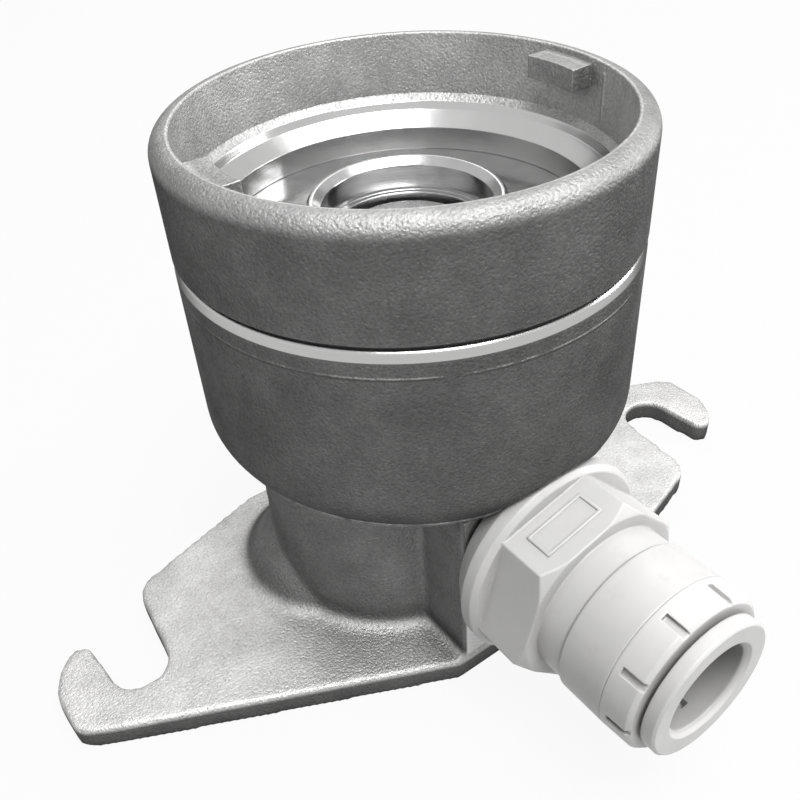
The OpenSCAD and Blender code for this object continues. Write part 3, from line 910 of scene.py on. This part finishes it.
@dataclass
class TubeAdaptor:
    """The push-in adaptor's small moulded details."""

    height_mm: float = 22.1
    flat_mm: float = 12.4
    flat_angle: float = 104.6
    frame_from_mm: float = 32.6
    frame_to_mm: float = 36.6
    frame_half_mm: float = 4.6
    frame_line_mm: float = 0.45
    frame_proud_mm: float = 0.22
    frame_round_mm: float = 0.09
    finish: Acetal = field(default_factory=Acetal)

    def add_frame(self, material: bpy.types.Material) -> bpy.types.Object:
        """Adds the raised rectangular frame on the hexagon's upper flat.

        Args:
            material: the adaptor's finish.

        Returns:
            The piece.
        """
        deselect()
        length = (self.frame_to_mm - self.frame_from_mm) * MM
        width = 2.0 * self.frame_half_mm * MM
        bpy.ops.mesh.primitive_plane_add(size=1.0)
        piece = bpy.context.object
        piece.scale = (width, length, 1.0)
        bpy.ops.object.transform_apply(location=False, rotation=False, scale=True)
        bpy.ops.object.mode_set(mode="EDIT")
        bpy.ops.mesh.select_all(action="SELECT")
        bpy.ops.mesh.inset(thickness=self.frame_line_mm * MM)
        bpy.ops.mesh.delete(type="FACE")
        bpy.ops.mesh.select_all(action="SELECT")
        bpy.ops.mesh.extrude_region_move(TRANSFORM_OT_translate={"value": (0, 0, 2.0 * self.frame_proud_mm * MM)})
        bpy.ops.mesh.select_all(action="SELECT")
        bpy.ops.mesh.normals_make_consistent(inside=False)
        bpy.ops.object.mode_set(mode="OBJECT")
        rounding = piece.modifiers.new("edges", "BEVEL")
        rounding.width = self.frame_round_mm * MM
        rounding.segments = 2
        bpy.ops.object.modifier_apply(modifier=rounding.name)
        angle = math.radians(self.flat_angle)
        out = Vector((math.cos(angle), 0.0, math.sin(angle)))
        along = Vector((0.0, -1.0, 0.0))
        across = along.cross(out)
        middle = 0.5 * (self.frame_from_mm + self.frame_to_mm)
        spot = out * (self.flat_mm - self.frame_proud_mm) * MM + along * middle * MM
        spot += Vector((0.0, 0.0, self.height_mm * MM))
        piece.matrix_world = Matrix.Translation(spot) @ Matrix((across, along, out)).transposed().to_4x4()
        return settle(piece, "hexagon_frame", material, Body.SOCKET)

    def dress(self, nodes: dict[str, bpy.types.Object]) -> bpy.types.Material:
        """Gives the moulded nodes their finish.

        Args:
            nodes: the CAD nodes by name.

        Returns:
            The adaptor's material.
        """
        body = self.finish.build("adaptor_acetal")
        grip = Acetal(level=0.46, rough=0.38, edge_mm=0.3).build("collet_acetal")
        cap = Acetal(level=0.48, rough=0.4, edge_mm=0.35).build("end_cap_acetal")
        assign(nodes["adaptor_body"], body)
        assign(nodes["seal_washer"], grip)
        assign(nodes["collet"], grip)
        assign(nodes["adaptor_end_cap"], cap)
        return body


@dataclass
class ValveParts:
    """The turned seat, the valve and the seals."""

    turned: TurnedSteel = field(default_factory=TurnedSteel)
    spring: SpringSteel = field(default_factory=SpringSteel)
    rubber: SealRubber = field(default_factory=SealRubber)
    crisp_angle: float = 12.0
    coil_angle: float = 60.0
    spring_foot_mm: float = 38.6
    spring_keep: float = 0.581

    def dress(self, nodes: dict[str, bpy.types.Object]) -> None:
        """Gives the inner nodes their finish.

        Args:
            nodes: the CAD nodes by name.
        """
        bright = self.turned.build("turned_seat_steel")
        plain = TurnedSteel(level=0.6, rough=0.24, ring_mm=0.5).build("turned_valve_steel")
        wire = self.spring.build("spring_wire")
        rubber = self.rubber.build("black_rubber")
        assign(nodes["seat_ring"], bright)
        crisp_copy(nodes["seat_ring"], "seat_insert", bright, Body.SOCKET, self.crisp_angle)
        for name in ("valve_poppet", "poppet_cap", "valve_cage", "spring_seat"):
            assign(nodes[name], plain)
        for name in ("valve_spring", "cage_circlip", "stem_clip", "collet_teeth"):
            assign(nodes[name], wire)
        spring = nodes["valve_spring"]
        coil = crisp_copy(spring, "coil_spring", wire, Body.SOCKET, self.coil_angle)
        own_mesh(coil)
        for name in ("collar_gasket", "seat_ring_o_ring", "poppet_seal", "adaptor_face_seal", "tube_o_ring"):
            assign(nodes[name], rubber)


def assign(node: bpy.types.Object, material: bpy.types.Material) -> None:
    """Puts one finish on all of a CAD node's slots.

    Args:
        node: the node.
        material: the finish.
    """
    if not node.material_slots:
        node.data.materials.append(material)
    for slot in node.material_slots:
        slot.material = material
    LOG.info("node %s: %s", node.name, material.name)


@dataclass(frozen=True)
class Lamp:
    """A soft rectangular lamp: its place, the point it faces and its sides in metres, and its power in watts."""

    name: str
    place: Triple
    aim: Triple
    size: Span
    power: float


LAMPS = (
    Lamp("back_window", (0.43, 0.66, 0.62), (0.0, 0.0, 0.03), (0.8, 0.6), 4.6),
    Lamp("overhead", (0.15, -0.25, 0.9), (0.0, -0.02, 0.03), (0.6, 0.6), 7.4),
    Lamp("front_top", (-0.12, -0.42, 0.85), (-0.02, -0.02, 0.0), (0.5, 0.5), 9.0),
    Lamp("right_fill", (0.75, -0.3, 0.3), (0.0, 0.0, 0.04), (0.3, 0.4), 4.2),
)


@dataclass
class Studio:
    """Camera, floor and lights."""

    azimuth: float = -33.300
    elevation: float = 38.160
    roll: float = -4.080
    spot_mm: Triple = (-61.54, -88.69, 116.12)
    lens_mm: float = 40.713
    floor_tone: float = 0.4
    floor_white: float = 0.92
    floor_radius: float = 3.0
    world_level: float = 0.07

    def add_camera(self) -> None:
        """Adds the camera at the photo's view."""
        a, e, r = (math.radians(v) for v in (self.azimuth, self.elevation, self.roll))
        back = Vector((math.sin(a) * math.cos(e), -math.cos(a) * math.cos(e), math.sin(e)))
        level = Vector((math.cos(a), math.sin(a), 0.0))
        upright = back.cross(level)
        right = level * math.cos(r) + upright * math.sin(r)
        up = upright * math.cos(r) - level * math.sin(r)
        data = bpy.data.cameras.new("view")
        data.lens = self.lens_mm
        data.sensor_width = 36.0
        data.clip_start = 0.005
        data.clip_end = 20.0
        camera = bpy.data.objects.new("view", data)
        bpy.context.scene.collection.objects.link(camera)
        turned = Matrix((right, up, back)).transposed().to_4x4()
        camera.matrix_world = Matrix.Translation(Vector(self.spot_mm) * MM) @ turned
        bpy.context.scene.camera = camera

    def seen_rays(self, kit: Graph) -> Sock:
        """Mask of the rays that look at the floor straight, in a reflection or through a clear piece."""
        names = ("Is Camera Ray", "Is Glossy Ray", "Is Transmission Ray")
        camera, glossy, through = (kit.node("ShaderNodeLightPath", {}, {}, name) for name in names)
        return (camera + glossy + through).clamped()

    def add_floor(self) -> None:
        """Adds the plain pale floor."""
        deselect()
        bpy.ops.mesh.primitive_circle_add(vertices=96, radius=self.floor_radius, fill_type="NGON")
        floor = bpy.context.object
        floor.name = "floor"
        kit = ShaderKit("floor_paper")
        pale = kit.node("ShaderNodeBsdfDiffuse", {}, {"Color": grey(self.floor_tone)})
        white = kit.node("ShaderNodeEmission", {}, {"Color": grey(1.0), "Strength": 1.0})
        mixed = kit.node("ShaderNodeMixShader", {}, {0: self.seen_rays(kit) * self.floor_white, 1: pale, 2: white})
        kit.close("ShaderNodeOutputMaterial", mixed)
        floor.data.materials.append(kit.material)

    @staticmethod
    def add_lamp(lamp: Lamp) -> None:
        """Adds one lamp.

        Args:
            lamp: its values.
        """
        data = bpy.data.lights.new(lamp.name, "AREA")
        data.shape = "RECTANGLE"
        data.size, data.size_y = lamp.size
        data.energy = lamp.power
        light = bpy.data.objects.new(lamp.name, data)
        bpy.context.scene.collection.objects.link(light)
        spot = Vector(lamp.place)
        light.location = spot
        light.rotation_euler = (Vector(lamp.aim) - spot).to_track_quat("-Z", "Y").to_euler()

    def add_world(self) -> None:
        """Adds the even surrounding light and the white behind the floor."""
        world = bpy.data.worlds.new("surround")
        bpy.context.scene.world = world
        graph = Graph(world)
        dim = graph.node("ShaderNodeBackground", {}, {"Color": grey(1.0), "Strength": self.world_level})
        white = graph.node("ShaderNodeBackground", {}, {"Color": grey(1.0), "Strength": 1.0})
        seen = self.seen_rays(graph)
        graph.close("ShaderNodeOutputWorld", graph.node("ShaderNodeMixShader", {}, {0: seen, 1: dim, 2: white}))

    def build(self) -> None:
        """Sets up the whole stage."""
        self.add_camera()
        self.add_floor()
        self.add_world()
        for lamp in LAMPS:
            self.add_lamp(lamp)
        bpy.context.scene.view_settings.view_transform = "Standard"


def main() -> None:
    """Loads the frame, dresses it, adds the pieces and sets the stage."""
    logging.basicConfig(level=logging.INFO, format="%(name)s: %(message)s")
    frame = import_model()
    nodes = frame["nodes"]
    castings = Castings()
    cast = castings.dress(nodes)
    castings.add_skin(nodes, cast)
    castings.add_flash(cast)
    adaptor = TubeAdaptor()
    acetal = adaptor.dress(nodes)
    adaptor.add_frame(acetal)
    ValveParts().dress(nodes)
    Studio().build()


if __name__ == "__main__":
    main()
